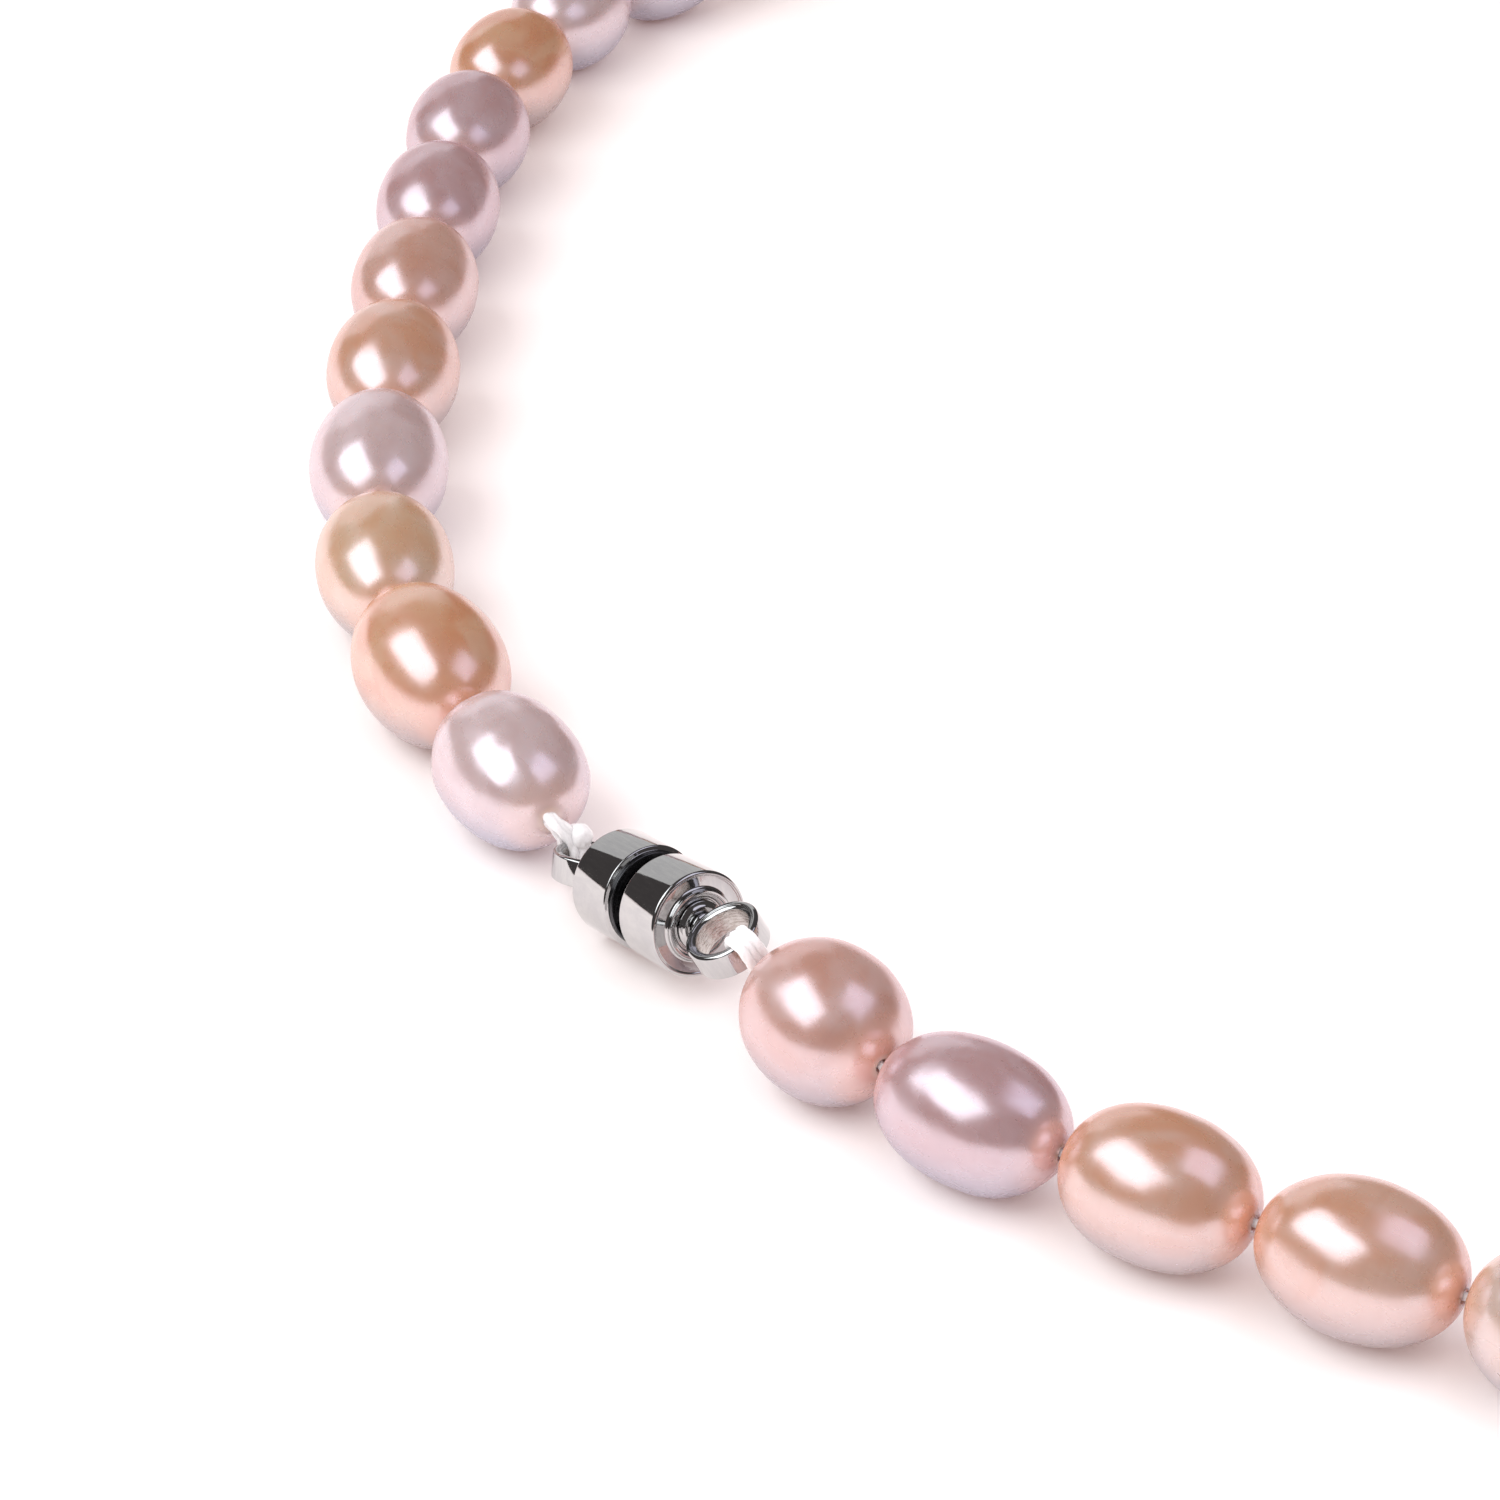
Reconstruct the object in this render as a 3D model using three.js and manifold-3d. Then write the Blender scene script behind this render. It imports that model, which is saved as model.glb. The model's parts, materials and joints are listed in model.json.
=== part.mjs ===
// Single-strand pearl necklace with a magnetic barrel clasp, laid in a closed loop on a flat surface.
// Millimetres, +Z up. +X runs along the clasp from its left half to its right half, and +Y runs
// from the clasp across the loop. The origin is the middle of the whole outline, on the surface.

import * as THREE from 'three';
import { mergeVertices } from 'three/addons/utils/BufferGeometryUtils.js';
import Module from 'manifold-3d';

const wasm = await Module();
wasm.setup();

// ---- driving dimensions -------------------------------------------------------------------

const PEARL_SIDES = 12;
const PEARL_BANDS = 7;
const PEARL_GAP = 0.2;
const PEARLS_PER_ARM = 20;
const MEAN_LENGTH = 10.9;
const MEAN_WIDTH = 8.35;
const BORE_RADIUS = 0.5;
const END_BORE_RADIUS = 0.65;

const CLASP_SIDES = 24;
const BARREL_RADIUS = 3.0;
const BARREL_LENGTH = 8.4;
const BARREL_TILT = 13.4;
const BARREL_HEIGHT = 3.87;
const GROOVE_WIDTH = 0.9;
const EDGE_ROUNDING = 0.2;
const CUP_RADIUS = 2.15;
const END_WALL = 0.6;
const COLLAR_OUTER = 2.0;
const COLLAR_INNER = 1.7;
const COLLAR_HEIGHT = 0.2;
const STEM_HOLE_RADIUS = 0.6;

const MAGNET_RADIUS = 2.0;
const MAGNET_LENGTH = 2.5;
const MAGNET_FACE_GAP = 0.3;

const EYE_OUTER = 2.2;
const EYE_HOLE = 1.6;
const EYE_HEIGHT = 1.65;
const EYE_CHAMFER = 0.12;
const EYE_OFFSET = 2.9;
const NECK_RADIUS = 0.75;
const NECK_LENGTH = 0.6;
const STEM_RADIUS = 0.4;
const FLANGE_RADIUS = 1.3;
const FLANGE_THICKNESS = 0.4;
const FLANGE_CLEARANCE = 0.2;
const WASHER_RADIUS = 1.4;
const WASHER_THICKNESS = 0.25;
const WASHER_CLEARANCE = 0.1;
const LEFT_EYE_ROLL = -15;
const RIGHT_EYE_ROLL = 25;

const STRAND_RADIUS = 0.25;
const LOOP_RADIUS = 0.18;
const LOOP_CLEARANCE = 0.14;
const LOOP_SPACING = 0.26;
const LOOP_DEPTH = 1.2;
const LOOP_STEPS = 28;
const KNOT_RADIUS = 0.5;
const THREAD_SIDES = 8;

const LEFT_TIP = new THREE.Vector2(-9.5, -1.0);
const RIGHT_TIP = new THREE.Vector2(9.4, 0.85);

// Colours of the nacre, from rose through peach to grey lilac.
const NACRE = {
  rose: 0xd9a79a,
  peach: 0xdb9f7c,
  gold: 0xd8ab85,
  salmon: 0xd49a86,
  cream: 0xe4c4ae,
  mauve: 0xb98f92,
  lilac: 0xc6b1b6,
  orange: 0xcf8a63,
};

// Pearls from the clasp outward: length and width in mm, taper (how much fatter the end away
// from the clasp is), and the direction of the strand in degrees from +X.
const LEFT_PEARLS = [
  { length: 10.8, width: 8.2, taper: 0.08, heading: 173.0, nacre: 'lilac' },
  { length: 11.9, width: 8.8, taper: 0.0, heading: 171.0, nacre: 'orange' },
  { length: 11.1, width: 8.3, taper: 0.04, heading: 155.0, nacre: 'gold' },
  { length: 11.9, width: 8.6, taper: -0.03, heading: 147.5, nacre: 'lilac' },
  { length: 11.4, width: 8.5, taper: 0.03, heading: 143.5, nacre: 'peach' },
  { length: 11.1, width: 8.3, taper: 0.0, heading: 141.5, nacre: 'salmon' },
  { length: 10.8, width: 8.3, taper: -0.04, heading: 141.0, nacre: 'mauve' },
  { length: 10.2, width: 8.4, taper: 0.03, heading: 135.5, nacre: 'mauve' },
  { length: 10.1, width: 8.3, taper: 0.0, heading: 127.5, nacre: 'orange' },
  { length: 10.3, width: 8.2, taper: 0.04, heading: 120.5, nacre: 'lilac' },
  { length: 10.5, width: 8.3, taper: 0.0, heading: 98.0, nacre: 'lilac' },
];
const RIGHT_PEARLS = [
  { length: 9.8, width: 8.6, taper: 0.05, heading: 3.5, nacre: 'rose' },
  { length: 11.1, width: 7.9, taper: 0.0, heading: 19.5, nacre: 'mauve' },
  { length: 10.7, width: 8.2, taper: -0.03, heading: 25.3, nacre: 'peach' },
  { length: 11.1, width: 8.2, taper: 0.02, heading: 26.0, nacre: 'peach' },
  { length: 10.6, width: 8.4, taper: 0.03, heading: 27.0, nacre: 'cream' },
];
const CENTRE_PEARL = { length: 11.2, width: 8.5, taper: 0, nacre: 'rose' };

// ---- small helpers ------------------------------------------------------------------------

const radians = THREE.MathUtils.degToRad;
const necklace = new THREE.Group();

function addMesh(parent, name, geometry, material) {
  const mesh = new THREE.Mesh(geometry, material);
  mesh.name = name;
  parent.add(mesh);
  return mesh;
}

// A solid of revolution about +X. The outline is a list of [distance along X, radius]: the outer
// side first, toward +X, then back along the inside. One that starts on the axis also ends there.
function revolve(outline, sides) {
  const onAxis = outline[0][1] === 0;
  const points = onAxis ? outline : [...outline, outline[0]];
  const profile = points.map(([along, radius]) => new THREE.Vector2(radius, along));
  const geometry = new THREE.LatheGeometry(profile, sides, Math.PI / sides);
  geometry.rotateZ(-Math.PI / 2);
  return geometry;
}

function toSolid(geometry) {
  const bare = geometry.clone();
  bare.deleteAttribute('normal');
  bare.deleteAttribute('uv');
  const merged = mergeVertices(bare, 1e-4);
  const mesh = new wasm.Mesh({
    numProp: 3,
    vertProperties: new Float32Array(merged.attributes.position.array),
    triVerts: new Uint32Array(merged.index.array),
  });
  return new wasm.Manifold(mesh);
}

function join(...geometries) {
  const mesh = geometries.map(toSolid).reduce((whole, piece) => whole.add(piece)).getMesh();
  const geometry = new THREE.BufferGeometry();
  geometry.setAttribute('position', new THREE.BufferAttribute(new Float32Array(mesh.vertProperties), 3));
  geometry.setIndex(new THREE.BufferAttribute(new Uint32Array(mesh.triVerts), 1));
  geometry.computeVertexNormals();
  return geometry;
}

function finish(color, roughness, metalness) {
  return new THREE.MeshStandardMaterial({ color, roughness, metalness });
}

// A path whose even steps fall on its listed points, straight between them.
class StraightRuns extends THREE.Curve {
  constructor(points) {
    super();
    this.points = points;
  }

  getPoint(t, target = new THREE.Vector3()) {
    const place = t * (this.points.length - 1);
    const run = Math.min(Math.floor(place), this.points.length - 2);
    return target.lerpVectors(this.points[run], this.points[run + 1], place - run);
  }

  getPointAt(t, target) {
    return this.getPoint(t, target);
  }

  getTangentAt(t, target) {
    return this.getTangent(t, target);
  }
}

function tubeAlong(path, radius, steps) {
  const section = new THREE.Shape();
  for (let i = 0; i < THREAD_SIDES; i++) {
    const angle = (2 * Math.PI * i) / THREAD_SIDES;
    const corner = [radius * Math.cos(angle), radius * Math.sin(angle)];
    if (i === 0) section.moveTo(...corner);
    else section.lineTo(...corner);
  }
  return new THREE.ExtrudeGeometry(section, { steps, extrudePath: path, bevelEnabled: false });
}

// ---- pearls -------------------------------------------------------------------------------

// Radius of an egg-shaped pearl at a place along its length, from -1 at one tip to +1 at the other.
function eggRadius(place, width, taper) {
  return (width / 2) * Math.sqrt(1 - place * place) * (1 + taper * place);
}

// The facets lie outside the round pearl: those of the widest band touch it, half a width from the
// axis, so that one of them is flat on the surface.
function pearlOutline({ length, width, taper, bore = BORE_RADIUS }) {
  const tipAngle = Math.asin(bore / (width / 2));
  const outline = [];
  for (let i = 0; i <= PEARL_BANDS; i++) {
    const angle = tipAngle + ((Math.PI - 2 * tipAngle) * i) / PEARL_BANDS;
    const place = -Math.cos(angle);
    outline.push([(place * length) / 2, eggRadius(place, width, taper)]);
  }
  const widest = Math.max(...outline.map(([, radius]) => radius)) * Math.cos(Math.PI / PEARL_SIDES);
  return outline.map(([along, radius], i) => {
    const atTip = i === 0 || i === PEARL_BANDS;
    return [along, atTip ? bore : (radius * width) / (2 * widest)];
  });
}

// Height of a pearl's axis above the surface.
function restingHeight(pearl) {
  return pearl.width / 2;
}

function placePearl(name, pearl, centre, heading) {
  const geometry = revolve(pearlOutline(pearl), PEARL_SIDES);
  const mesh = addMesh(necklace, name, geometry, finish(NACRE[pearl.nacre], 0.28, 0));
  mesh.position.set(centre.x, centre.y, restingHeight(pearl));
  mesh.rotation.z = radians(heading);
}

// ---- the strand's path --------------------------------------------------------------------

// Sizes drift gently from pearl to pearl on the far side of the loop.
function farPearl(index, side) {
  const names = Object.keys(NACRE);
  return {
    length: MEAN_LENGTH + 0.45 * Math.sin(2.4 * index + side),
    width: MEAN_WIDTH + 0.12 * Math.sin(1.7 * index - side),
    taper: 0.04 * Math.sin(3.1 * index + side),
    nacre: names[(index * 5 + side * 3) % names.length],
  };
}

function armPearls(listed, side) {
  const pearls = listed.map((pearl) => ({ ...pearl }));
  for (let i = listed.length; i < PEARLS_PER_ARM; i++) {
    pearls.push(farPearl(i, side));
  }
  pearls[0].bore = END_BORE_RADIUS;
  return pearls;
}

const leftPearls = armPearls(LEFT_PEARLS, 1);
const rightPearls = armPearls(RIGHT_PEARLS, 2);
const FAR_GAPS = 2 * PEARLS_PER_ARM - LEFT_PEARLS.length - RIGHT_PEARLS.length + 2;

// The far side bends in two rounded corners with a nearly straight back between them: each of the
// three bends has its middle at a gap number, counted from the right arm, and fades out over its
// reach to both sides.
const BENDS = [
  { middle: 2.5, reach: 8 },
  { middle: FAR_GAPS / 2 - 0.5, reach: 12 },
  { middle: FAR_GAPS - 6, reach: 7 },
];

function farTurn(gap, strengths) {
  return strengths.reduce((sum, strength, i) => {
    const off = Math.min(1, Math.abs(gap - BENDS[i].middle) / BENDS[i].reach);
    return sum + strength * Math.cos((off * Math.PI) / 2) ** 2;
  }, 0);
}

function step(point, heading, distance) {
  const along = new THREE.Vector2(Math.cos(radians(heading)), Math.sin(radians(heading)));
  return point.clone().addScaledVector(along, distance);
}

// Lays pearls one after another from a tip. Each is turned from the one before it, unless it
// states its own heading.
function walk(pearls, start, startHeading, turns) {
  let tip = start;
  let heading = startHeading;
  const placed = pearls.map((pearl, i) => {
    heading = pearl.heading ?? heading + turns(i);
    const pitch = pearl.length + PEARL_GAP;
    const centre = step(tip, heading, pitch / 2);
    tip = step(tip, heading, pitch);
    return { pearl, centre, heading, tip };
  });
  return { placed, tip, heading };
}

// The right arm is walked on around the far side, through the centre pearl and back down the left
// arm's far pearls, to the tip where the listed left pearls end.
function layLoop(strengths) {
  const left = walk(leftPearls.slice(0, LEFT_PEARLS.length), LEFT_TIP, 0);
  const right = walk(rightPearls.slice(0, RIGHT_PEARLS.length), RIGHT_TIP, 0);
  const farPearls = [
    ...rightPearls.slice(RIGHT_PEARLS.length),
    CENTRE_PEARL,
    ...leftPearls.slice(LEFT_PEARLS.length).reverse(),
  ];
  const far = walk(farPearls, right.tip, right.heading, (i) => farTurn(i, strengths));
  const closing = far.heading + farTurn(FAR_GAPS - 1, strengths) - left.heading - 180;
  return { left, right, far, misfit: [far.tip.x - left.tip.x, far.tip.y - left.tip.y, closing] };
}

// Newton's method finds the three bends with which the far side meets the left arm.
function closeLoop() {
  const nudge = 1e-4;
  let bends = new THREE.Vector3(20, -1, 18);
  for (let round = 0; round < 40; round++) {
    const { misfit } = layLoop(bends.toArray());
    const columns = [0, 1, 2].map((i) => {
      const nudged = bends.clone().setComponent(i, bends.getComponent(i) + nudge);
      return layLoop(nudged.toArray()).misfit.map((value, j) => (value - misfit[j]) / nudge);
    });
    const slopes = new THREE.Matrix3().set(...columns.flat()).transpose();
    const change = new THREE.Vector3(...misfit).applyMatrix3(slopes.invert());
    bends = bends.addScaledVector(change, -0.5);
  }
  return layLoop(bends.toArray());
}

const loop = closeLoop();
const number = (i) => String(i + 1).padStart(2, '0');
const farCount = PEARLS_PER_ARM - RIGHT_PEARLS.length;
const rightArm = [...loop.right.placed, ...loop.far.placed.slice(0, farCount)];
const centrePearl = loop.far.placed[farCount];
const leftArm = [...loop.left.placed, ...loop.far.placed.slice(farCount + 1).reverse()];
leftArm.forEach(({ pearl, centre, heading }, i) => {
  placePearl(`pearl_left_${number(i)}`, pearl, centre, heading);
});
rightArm.forEach(({ pearl, centre, heading }, i) => {
  placePearl(`pearl_right_${number(i)}`, pearl, centre, heading);
});
placePearl('pearl_centre', centrePearl.pearl, centrePearl.centre, centrePearl.heading);

// ---- silk strand through the bores --------------------------------------------------------

// The strand's points run from the right arm's first gap around to the left arm's first gap.
function strandPoints() {
  const around = [...rightArm, centrePearl, ...leftArm.slice().reverse()];
  const listedLeft = LEFT_PEARLS.length;
  const points = [];
  around.forEach(({ pearl, centre, heading }, i) => {
    const height = restingHeight(pearl);
    const next = around[i + 1];
    const inward = i >= around.length - listedLeft ? -1 : 1;
    const start = step(centre, heading, (-inward * (pearl.length - 2 * LOOP_DEPTH)) / 2);
    if (i === 0) points.push(new THREE.Vector3(start.x, start.y, height));
    points.push(new THREE.Vector3(centre.x, centre.y, height));
    if (next) {
      const gap = step(centre, heading, (inward * (pearl.length + PEARL_GAP)) / 2);
      points.push(new THREE.Vector3(gap.x, gap.y, (height + restingHeight(next.pearl)) / 2));
    } else {
      const end = step(centre, heading, (inward * (pearl.length - 2 * LOOP_DEPTH)) / 2);
      points.push(new THREE.Vector3(end.x, end.y, height));
    }
  });
  return points;
}

const strandRoute = new StraightRuns(strandPoints());
const silk = () => finish(0xf1eeea, 0.7, 0);
addMesh(
  necklace,
  'silk_strand',
  tubeAlong(strandRoute, STRAND_RADIUS, strandRoute.points.length - 1),
  silk(),
);

// ---- magnetic barrel clasp ----------------------------------------------------------------

// Everything on one half is drawn along +X from the middle of the closed clasp.
const HALF_END = BARREL_LENGTH / 2;
const clasp = new THREE.Group();
clasp.position.z = BARREL_HEIGHT;
clasp.rotation.y = -radians(BARREL_TILT);
necklace.add(clasp);

function shellOutline() {
  const start = GROOVE_WIDTH / 2;
  const floor = HALF_END - END_WALL;
  return [
    [start, CUP_RADIUS],
    [start, BARREL_RADIUS - EDGE_ROUNDING],
    [start + EDGE_ROUNDING, BARREL_RADIUS],
    [HALF_END - EDGE_ROUNDING, BARREL_RADIUS],
    [HALF_END, BARREL_RADIUS - EDGE_ROUNDING],
    [HALF_END, COLLAR_OUTER],
    [HALF_END + COLLAR_HEIGHT, COLLAR_OUTER],
    [HALF_END + COLLAR_HEIGHT, COLLAR_INNER],
    [HALF_END, COLLAR_INNER],
    [HALF_END, STEM_HOLE_RADIUS],
    [floor, STEM_HOLE_RADIUS],
    [floor, CUP_RADIUS],
  ];
}

function magnetOutline() {
  const face = MAGNET_FACE_GAP / 2;
  return [
    [face, 0],
    [face, MAGNET_RADIUS],
    [face + MAGNET_LENGTH, MAGNET_RADIUS],
    [face + MAGNET_LENGTH, 0],
  ];
}

function washerOutline() {
  const start = HALF_END + WASHER_CLEARANCE;
  return [
    [start, STEM_HOLE_RADIUS],
    [start, WASHER_RADIUS],
    [start + WASHER_THICKNESS, WASHER_RADIUS],
    [start + WASHER_THICKNESS, STEM_HOLE_RADIUS],
  ];
}

// The eye's flange is trapped inside the shell, and its stem passes out through the end wall.
function stemOutline() {
  const flangeEnd = HALF_END - END_WALL - FLANGE_CLEARANCE;
  const neckEnd = HALF_END + EYE_OFFSET - (EYE_OUTER + EYE_HOLE) / 2;
  return [
    [flangeEnd - FLANGE_THICKNESS, 0],
    [flangeEnd - FLANGE_THICKNESS, FLANGE_RADIUS],
    [flangeEnd, FLANGE_RADIUS],
    [flangeEnd, STEM_RADIUS],
    [neckEnd - NECK_LENGTH, STEM_RADIUS],
    [neckEnd - NECK_LENGTH, NECK_RADIUS],
    [neckEnd, NECK_RADIUS],
    [neckEnd, 0],
  ];
}

function ringOutline() {
  const top = EYE_HEIGHT / 2;
  return [
    [-top, EYE_HOLE + EYE_CHAMFER],
    [-top, EYE_OUTER - EYE_CHAMFER],
    [-top + EYE_CHAMFER, EYE_OUTER],
    [top - EYE_CHAMFER, EYE_OUTER],
    [top, EYE_OUTER - EYE_CHAMFER],
    [top, EYE_HOLE + EYE_CHAMFER],
    [top - EYE_CHAMFER, EYE_HOLE],
    [-top + EYE_CHAMFER, EYE_HOLE],
  ];
}

function eyeGeometry() {
  const ring = revolve(ringOutline(), CLASP_SIDES);
  ring.rotateY(-Math.PI / 2);
  ring.translate(HALF_END + EYE_OFFSET, 0, 0);
  return join(revolve(stemOutline(), CLASP_SIDES), ring);
}

const silver = () => finish(0xc9cacc, 0.08, 1);
const magnetPlating = () => finish(0x3c3d40, 0.3, 1);

function addClaspHalf(side, facing, roll) {
  const half = new THREE.Group();
  half.rotation.z = facing;
  clasp.add(half);
  addMesh(half, `clasp_shell_${side}`, revolve(shellOutline(), CLASP_SIDES), silver());
  addMesh(half, `clasp_magnet_${side}`, revolve(magnetOutline(), CLASP_SIDES), magnetPlating());
  addMesh(half, `clasp_washer_${side}`, revolve(washerOutline(), CLASP_SIDES), silver());
  const eye = addMesh(half, `clasp_eye_${side}`, eyeGeometry(), silver());
  eye.rotation.x = radians(roll);
}

addClaspHalf('right', 0, RIGHT_EYE_ROLL);
addClaspHalf('left', Math.PI, -LEFT_EYE_ROLL);

// ---- silk loops that hold the eyes --------------------------------------------------------

// A loop leaves the end pearl's bore, passes around the far side of the eye's band and comes back.
function loopGeometry(arm, facing, roll, mouthSide, knotted) {
  const { pearl, centre, heading } = arm[0];
  const height = restingHeight(pearl);
  const claspTurn = new THREE.Euler(0, -radians(BARREL_TILT), 0);
  const outward = new THREE.Vector3(facing, 0, 0).applyEuler(claspTurn);
  const ringAxis = new THREE.Vector3(0, 0, 1).applyAxisAngle(new THREE.Vector3(1, 0, 0), radians(roll));
  const toMouth = ringAxis.applyEuler(claspTurn).multiplyScalar(mouthSide);
  const band = new THREE.Vector3(0, 0, BARREL_HEIGHT);
  band.addScaledVector(outward, HALF_END + EYE_OFFSET + (EYE_OUTER + EYE_HOLE) / 2);
  const mouth = step(centre, heading, -pearl.length / 2);
  const inside = step(centre, heading, -pearl.length / 2 + LOOP_DEPTH - 0.3);
  const reachOut = (EYE_OUTER - EYE_HOLE) / 2 + LOOP_RADIUS + LOOP_CLEARANCE;
  const reachUp = EYE_HEIGHT / 2 + LOOP_RADIUS + LOOP_CLEARANCE;
  const aroundBand = (out, up) => band.clone().addScaledVector(outward, out).addScaledVector(toMouth, up);
  const offset = LOOP_SPACING * mouthSide;
  const route = new THREE.CatmullRomCurve3([
    new THREE.Vector3(inside.x, inside.y, height - offset),
    new THREE.Vector3(mouth.x, mouth.y, height - offset),
    aroundBand(reachOut, reachUp * 0.7),
    aroundBand(reachOut, -reachUp * 0.7),
    aroundBand(0, -reachUp),
    aroundBand(-reachOut, -reachUp * 0.7),
    aroundBand(-reachOut, reachUp * 0.7),
    new THREE.Vector3(mouth.x, mouth.y, height + offset),
    new THREE.Vector3(inside.x, inside.y, height + offset),
  ], false, 'centripetal');
  const tube = tubeAlong(route, LOOP_RADIUS, LOOP_STEPS);
  if (!knotted) return tube;
  const knot = new THREE.SphereGeometry(KNOT_RADIUS, 12, 8);
  knot.translate(...aroundBand(-reachOut, reachUp * 1.3).toArray());
  return join(tube, knot);
}

addMesh(necklace, 'silk_loop_right', loopGeometry(rightArm, 1, RIGHT_EYE_ROLL, -1, false), silk());
addMesh(necklace, 'silk_loop_left', loopGeometry(leftArm, -1, LEFT_EYE_ROLL, 1, true), silk());

// ---- place the whole outline's middle at the origin ---------------------------------------

necklace.updateMatrixWorld(true);
const outline = new THREE.Box3().setFromObject(necklace, true);
const middle = outline.getCenter(new THREE.Vector3());
necklace.children.forEach((child) => {
  child.position.x -= middle.x;
  child.position.y -= middle.y;
});
necklace.updateMatrixWorld(true);

export default necklace;
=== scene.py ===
"""Looks of a pearl necklace with a magnetic barrel clasp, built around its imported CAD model.

Metres, +Z up, in the model's own frame. Every place and size is read from the CAD nodes and joints;
the millimetre values below are the fine details that the plain CAD solids leave out.
"""

import json
import math

import bpy
import numpy as np
from mathutils import Matrix, Vector, noise


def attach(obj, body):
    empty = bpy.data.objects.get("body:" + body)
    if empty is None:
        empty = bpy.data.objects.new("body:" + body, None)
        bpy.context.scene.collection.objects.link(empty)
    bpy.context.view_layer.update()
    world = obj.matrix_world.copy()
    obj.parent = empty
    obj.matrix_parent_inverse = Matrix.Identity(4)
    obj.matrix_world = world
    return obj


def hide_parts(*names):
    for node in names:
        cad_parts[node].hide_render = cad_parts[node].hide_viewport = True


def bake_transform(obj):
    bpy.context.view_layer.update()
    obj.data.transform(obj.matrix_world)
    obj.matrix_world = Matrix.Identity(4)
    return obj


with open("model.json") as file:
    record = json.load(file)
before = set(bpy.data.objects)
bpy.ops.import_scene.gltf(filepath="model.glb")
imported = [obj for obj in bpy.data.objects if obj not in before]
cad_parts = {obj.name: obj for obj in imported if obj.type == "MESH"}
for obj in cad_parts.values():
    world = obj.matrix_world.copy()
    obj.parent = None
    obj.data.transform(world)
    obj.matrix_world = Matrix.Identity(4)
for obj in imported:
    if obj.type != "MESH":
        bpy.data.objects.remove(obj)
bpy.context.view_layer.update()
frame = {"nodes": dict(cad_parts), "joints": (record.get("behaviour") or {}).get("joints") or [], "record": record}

MM = 0.001

# ---- details in millimetres and degrees ----------------------------------------------------

# The photo's camera, as fitted to the clasp and the visible pearls.
CAMERA_FROM_CLASP = Vector((187.3, -118.9, 160.4)) * MM
CAMERA_HEADING = 146.3
CAMERA_PITCH = -34.14
CAMERA_LENS = 120.5

PEARL_SIDES = 72
PEARL_RINGS = 56
DRILL_RADIUS = 0.38 * MM
DRILL_BEVEL = 0.1 * MM
DRILL_DEPTH = 1.6 * MM
# How far a pearl's tip passes its CAD end: enough to narrow the gaps, too little to touch.
TIP_REACH = 0.03 * MM
# The power of a pearl's rounded profile: 2 is an ellipse, more is blunter.
BLUNTNESS = 2.13
BLUNTNESS_SPREAD = 0.05

# Unevenness of a pearl's skin, in parts of its size: broad swells, fine swells and dents.
BROAD_SWELL = 0.012
FINE_SWELL = 0.0035
DENT = 0.012
# How many times the usual unevenness the two lumpiest pearls show.
LUMPY = {"pearl_left_01": 2.6, "pearl_right_02": 1.5}

THREAD_RADIUS = 0.28 * MM
THREAD_SPACING = 0.42 * MM
THREAD_TWIST = 2.4 / MM
THREAD_RIDGE = 0.14
GAP_THREAD_RADIUS = 0.22 * MM
GAP_THREAD_STEP = 0.12 * MM
LOOP_THREAD_STEP = 0.07 * MM
KNOT_RADIUS = 0.8 * MM

CLASP_SIDES = 128
# The clasp's cup, end wall, ledge at the mating face and stepped collar on the end.
CUP_RADIUS = 2.15 * MM
END_WALL = 0.6 * MM
LEDGE = 0.3 * MM
COLLAR = 0.2 * MM
BEVEL = 0.1 * MM
# A solid turned around its axis leaves this bore, so that no faces meet in a point.
AXIS_BORE = 0.02 * MM

# Nacre: body colour, the colour of its soft clouds, and a brighter, more orange colour near the ends that is
# painted bounce light between neighbouring pearls.
NACRE = {
    "rose": ((0.54, 0.27, 0.19), (0.58, 0.36, 0.30), (0.74, 0.38, 0.25)),
    "peach": ((0.58, 0.28, 0.145), (0.60, 0.36, 0.25), (0.76, 0.38, 0.22)),
    "gold": ((0.60, 0.34, 0.175), (0.62, 0.42, 0.27), (0.76, 0.43, 0.25)),
    "salmon": ((0.54, 0.27, 0.175), (0.57, 0.34, 0.26), (0.72, 0.38, 0.25)),
    "cream": ((0.59, 0.385, 0.265), (0.60, 0.44, 0.36), (0.74, 0.46, 0.31)),
    "mauve": ((0.45, 0.255, 0.245), (0.50, 0.34, 0.345), (0.64, 0.38, 0.33)),
    "lilac": ((0.54, 0.38, 0.36), (0.60, 0.46, 0.45), (0.68, 0.45, 0.38)),
    "orange": ((0.59, 0.25, 0.10), (0.62, 0.34, 0.18), (0.74, 0.34, 0.16)),
}
# Painted reflection of the white floor on each pearl's lower half, paler and cooler: this much of each body
# channel, with this much added.
FLOOR_REFLECTION_KEPT = (0.35, 0.45, 0.6)
FLOOR_REFLECTION_ADDED = (0.125, 0.135, 0.14)
BAND_DARKNESS = 0.86
DRILL_RIM = (0.80, 0.56, 0.44)
SPECK = (0.93, 0.88, 0.86)


# ---- node helpers ---------------------------------------------------------------------------

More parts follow.
